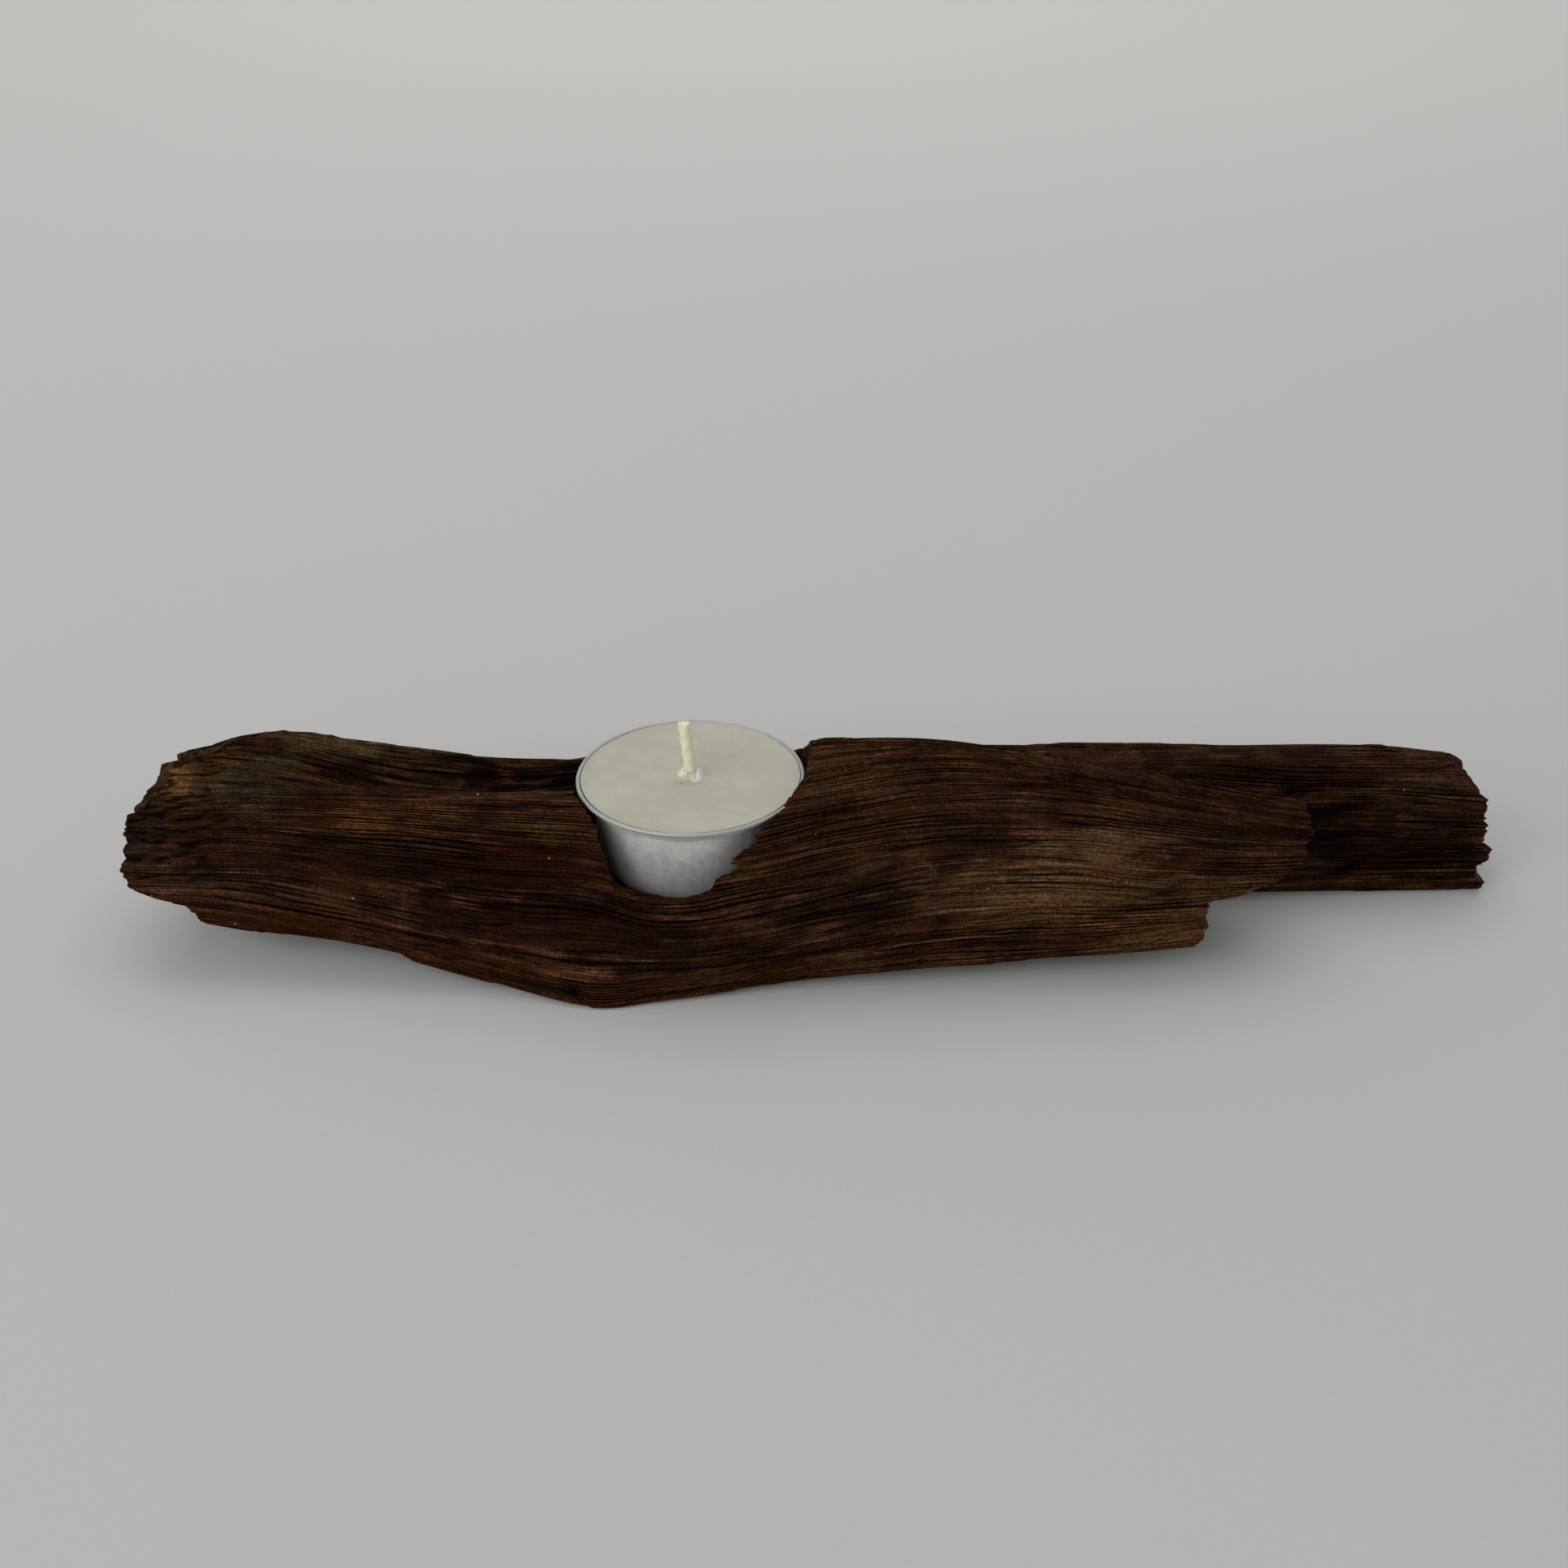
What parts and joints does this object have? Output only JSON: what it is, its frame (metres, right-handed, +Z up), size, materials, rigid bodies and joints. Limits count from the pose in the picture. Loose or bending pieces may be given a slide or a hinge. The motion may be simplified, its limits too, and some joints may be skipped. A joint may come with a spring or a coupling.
{
  "type": "driftwood tealight holder",
  "caption": "Dark weathered driftwood tealight holder with a round drilled recess open at the front lip, holding an aluminium cup tealight with wax and a wick.",
  "frame": {"origin": "centre of the bounding box, on the plane of the levelled foot", "axes": "+X along the wood towards the thin rear layer's end, +Y away from the long front face, +Z up out of the recess"},
  "size_m": [0.2348, 0.0534, 0.0383],
  "materials": {
    "driftwood": "dark brown, dry and open grained, unvarnished",
    "cup_aluminium": "thin pressed foil, satin",
    "candle_wax": "off-white paraffin, slightly translucent",
    "wick_cotton": "waxed cotton braid",
    "sustainer_metal": "tinned sheet"
  },
  "bodies": {
    "holder": {"driftwood_body": "driftwood"},
    "tealight": {"tealight_cup": "cup_aluminium", "wax": "candle_wax", "wick": "wick_cotton", "wick_sustainer": "sustainer_metal"}
  },
  "joints": [
    {"name": "tealight_lift", "type": "slide", "parent": "holder", "child": "tealight", "axis": [0, 0, 1], "range_m": [0, 0.05]}
  ]
}
